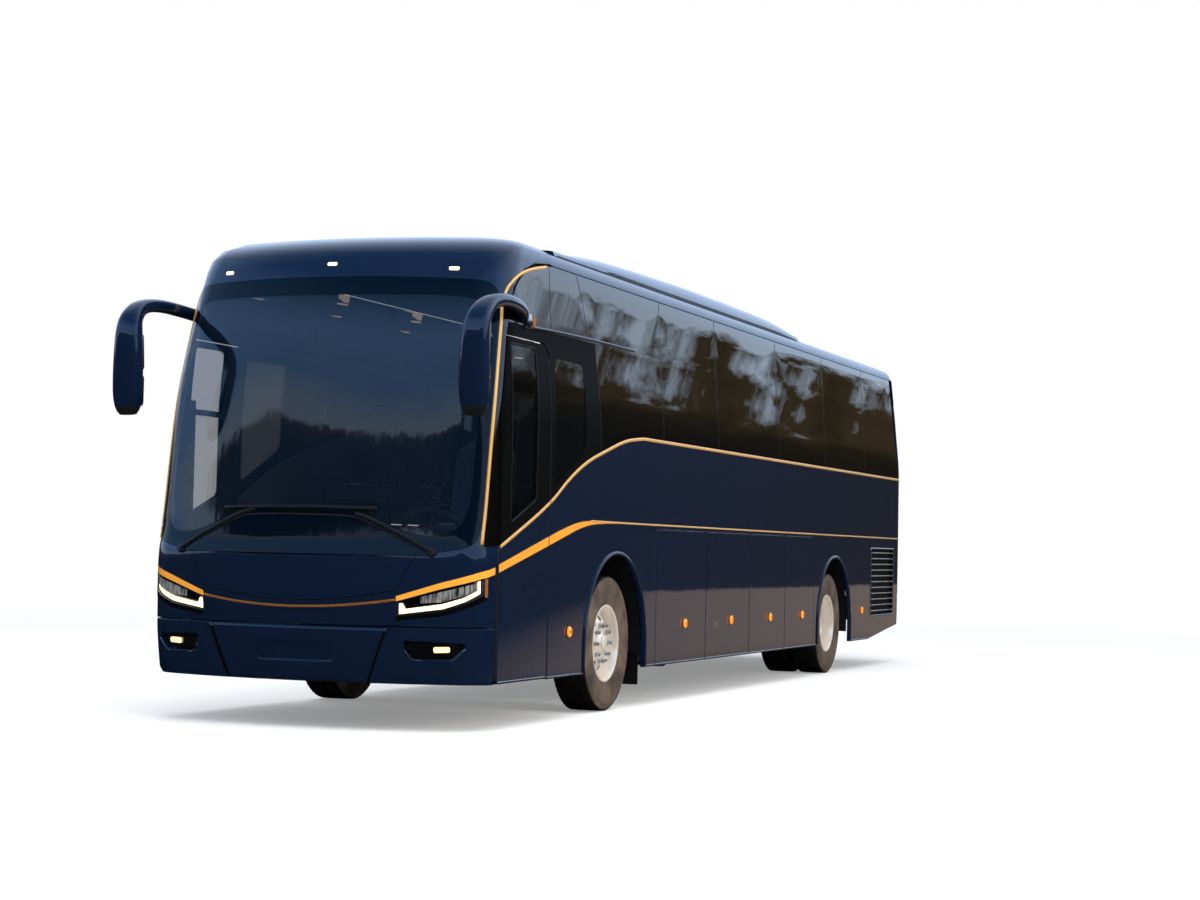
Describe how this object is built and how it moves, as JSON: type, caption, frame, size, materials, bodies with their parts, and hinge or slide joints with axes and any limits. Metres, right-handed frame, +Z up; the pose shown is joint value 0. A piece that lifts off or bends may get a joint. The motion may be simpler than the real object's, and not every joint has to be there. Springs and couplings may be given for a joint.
{
  "type": "coach bus",
  "caption": "High-floor touring coach with a raked windscreen, a continuous tinted glass band, luggage flaps, twin rear wheels, hinged doors and ear mirrors.",
  "frame": {"origin": "on the ground, under the middle of the coach's bounding box, mirrors included", "axes": "+X to the coach's left (driver's) side, the front faces -Y, +Z up"},
  "size_m": [2.812, 13.21, 3.64],
  "materials": {
    "painted_body": "gloss",
    "tinted_glass": "gloss",
    "windscreen_glass": "gloss",
    "lamp_lens": "gloss",
    "amber_lens": "gloss",
    "red_lens": "gloss",
    "louvre_metal": "satin",
    "tyre": "matte",
    "polished_wheel": "polished",
    "chassis_steel": "satin",
    "cast_metal": "rough",
    "spring_rubber": "matte",
    "black_plastic": "satin",
    "gloss_black": "gloss",
    "floor_covering": "matte",
    "seat_cloth": "woven",
    "cabin_trim": "satin"
  },
  "bodies": {
    "coach_body": {"front_cap": "painted_body", "windscreen": "windscreen_glass", "front_bumper": "painted_body", "front_lamps": "lamp_lens", "side_wall_left": "painted_body", "side_wall_right": "painted_body", "side_glass_left": "tinted_glass", "side_glass_right": "tinted_glass", "side_grilles": "louvre_metal", "roof": "painted_body", "roof_fairings": "painted_body", "roof_cooler": "painted_body", "rear_cap": "painted_body", "rear_window": "tinted_glass", "rear_bumper": "painted_body", "tail_lamps": "red_lens", "saloon_floor": "floor_covering", "cab_floor": "floor_covering", "luggage_deck": "chassis_steel", "front_chassis": "chassis_steel", "rear_chassis": "chassis_steel", "engine": "cast_metal", "front_axle": "cast_metal", "rear_axle": "cast_metal", "air_springs": "spring_rubber", "mirrors": "painted_body", "wipers": "black_plastic", "dashboard": "black_plastic", "steering_wheel": "black_plastic", "driver_seat": "seat_cloth", "passenger_seats": "seat_cloth", "luggage_racks": "cabin_trim", "mud_flaps": "black_plastic"},
    "driver_door": {"driver_door": "painted_body", "driver_door_glass": "tinted_glass"},
    "front_door_post": {"front_door_post": "chassis_steel"},
    "front_door": {"front_door": "painted_body", "front_door_glass": "tinted_glass"},
    "engine_lid": {"engine_lid": "painted_body"},
    "knuckle_left": {"knuckle_left": "cast_metal"},
    "knuckle_right": {"knuckle_right": "cast_metal"},
    "front_wheel_left": {"front_tyre_left": "tyre", "front_rim_left": "polished_wheel"},
    "front_wheel_right": {"front_tyre_right": "tyre", "front_rim_right": "polished_wheel"},
    "rear_wheels_left": {"rear_tyres_left": "tyre", "rear_rims_left": "polished_wheel"},
    "rear_wheels_right": {"rear_tyres_right": "tyre", "rear_rims_right": "polished_wheel"},
    "roof_hatch_front": {"roof_hatch_front": "painted_body"},
    "roof_hatch_rear": {"roof_hatch_rear": "painted_body"},
    "flap_left_1": {"flap_left_1": "painted_body"},
    "flap_left_2": {"flap_left_2": "painted_body"},
    "flap_left_3": {"flap_left_3": "painted_body"},
    "flap_left_4": {"flap_left_4": "painted_body"},
    "flap_right_1": {"flap_right_1": "painted_body"},
    "flap_right_2": {"flap_right_2": "painted_body"},
    "flap_right_3": {"flap_right_3": "painted_body"},
    "flap_right_4": {"flap_right_4": "painted_body"}
  },
  "joints": [
    {"name": "driver_door_hinge", "type": "hinge", "parent": "coach_body", "child": "driver_door", "pos_m": [1.275, -5.94, 1.2], "axis": [0, 0, -1], "range_deg": [0, 70]},
    {"name": "front_door_swing", "type": "hinge", "parent": "coach_body", "child": "front_door_post", "pos_m": [-1.163, -5.865, 1.2], "axis": [0, 0, 1], "range_deg": [0, 100]},
    {"name": "front_door_leaf", "type": "hinge", "parent": "front_door_post", "child": "front_door", "pos_m": [-1.163, -5.2, 1.2], "axis": [0, 0, 1], "range_deg": [-100, 0]},
    {"name": "steering_left", "type": "hinge", "parent": "coach_body", "child": "knuckle_left", "pos_m": [0.9, -3.55, 0.522], "axis": [0, 0, 1], "range_deg": [-40, 40]},
    {"name": "front_wheel_left_roll", "type": "hinge", "parent": "knuckle_left", "child": "front_wheel_left", "pos_m": [1.07, -3.55, 0.522], "axis": [1, 0, 0], "continuous": true},
    {"name": "rear_wheels_left_roll", "type": "hinge", "parent": "coach_body", "child": "rear_wheels_left", "pos_m": [1.07, 3.35, 0.522], "axis": [1, 0, 0], "continuous": true},
    {"name": "flap_left_1_hinge", "type": "hinge", "parent": "coach_body", "child": "flap_left_1", "pos_m": [1.275, -0.01, 1.419], "axis": [0, -1, 0], "range_deg": [0, 85]},
    {"name": "flap_left_2_hinge", "type": "hinge", "parent": "coach_body", "child": "flap_left_2", "pos_m": [1.275, -0.01, 1.419], "axis": [0, -1, 0], "range_deg": [0, 85]},
    {"name": "flap_left_3_hinge", "type": "hinge", "parent": "coach_body", "child": "flap_left_3", "pos_m": [1.275, -0.01, 1.419], "axis": [0, -1, 0], "range_deg": [0, 85]},
    {"name": "flap_left_4_hinge", "type": "hinge", "parent": "coach_body", "child": "flap_left_4", "pos_m": [1.275, -0.01, 1.419], "axis": [0, -1, 0], "range_deg": [0, 85]},
    {"name": "steering_right", "type": "hinge", "parent": "coach_body", "child": "knuckle_right", "pos_m": [-0.9, -3.55, 0.522], "axis": [0, 0, 1], "range_deg": [-40, 40]},
    {"name": "front_wheel_right_roll", "type": "hinge", "parent": "knuckle_right", "child": "front_wheel_right", "pos_m": [-1.07, -3.55, 0.522], "axis": [1, 0, 0], "continuous": true},
    {"name": "rear_wheels_right_roll", "type": "hinge", "parent": "coach_body", "child": "rear_wheels_right", "pos_m": [-1.07, 3.35, 0.522], "axis": [1, 0, 0], "continuous": true},
    {"name": "flap_right_1_hinge", "type": "hinge", "parent": "coach_body", "child": "flap_right_1", "pos_m": [-1.275, -0.01, 1.419], "axis": [0, 1, 0], "range_deg": [0, 85]},
    {"name": "flap_right_2_hinge", "type": "hinge", "parent": "coach_body", "child": "flap_right_2", "pos_m": [-1.275, -0.01, 1.419], "axis": [0, 1, 0], "range_deg": [0, 85]},
    {"name": "flap_right_3_hinge", "type": "hinge", "parent": "coach_body", "child": "flap_right_3", "pos_m": [-1.275, -0.01, 1.419], "axis": [0, 1, 0], "range_deg": [0, 85]},
    {"name": "flap_right_4_hinge", "type": "hinge", "parent": "coach_body", "child": "flap_right_4", "pos_m": [-1.275, -0.01, 1.419], "axis": [0, 1, 0], "range_deg": [0, 85]},
    {"name": "engine_lid_hinge", "type": "hinge", "parent": "coach_body", "child": "engine_lid", "pos_m": [0, 6.59, 1.947], "axis": [1, 0, 0], "range_deg": [0, 75]},
    {"name": "roof_hatch_front_hinge", "type": "hinge", "parent": "coach_body", "child": "roof_hatch_front", "pos_m": [0, -3.55, 3.565], "axis": [1, 0, 0], "range_deg": [0, 75]},
    {"name": "roof_hatch_rear_hinge", "type": "hinge", "parent": "coach_body", "child": "roof_hatch_rear", "pos_m": [0, 3.35, 3.565], "axis": [1, 0, 0], "range_deg": [0, 75]}
  ],
  "couplings": [
    {"joint": "front_door_leaf", "follows": "front_door_swing", "ratio": -1},
    {"joint": "steering_right", "follows": "steering_left", "ratio": 1}
  ]
}
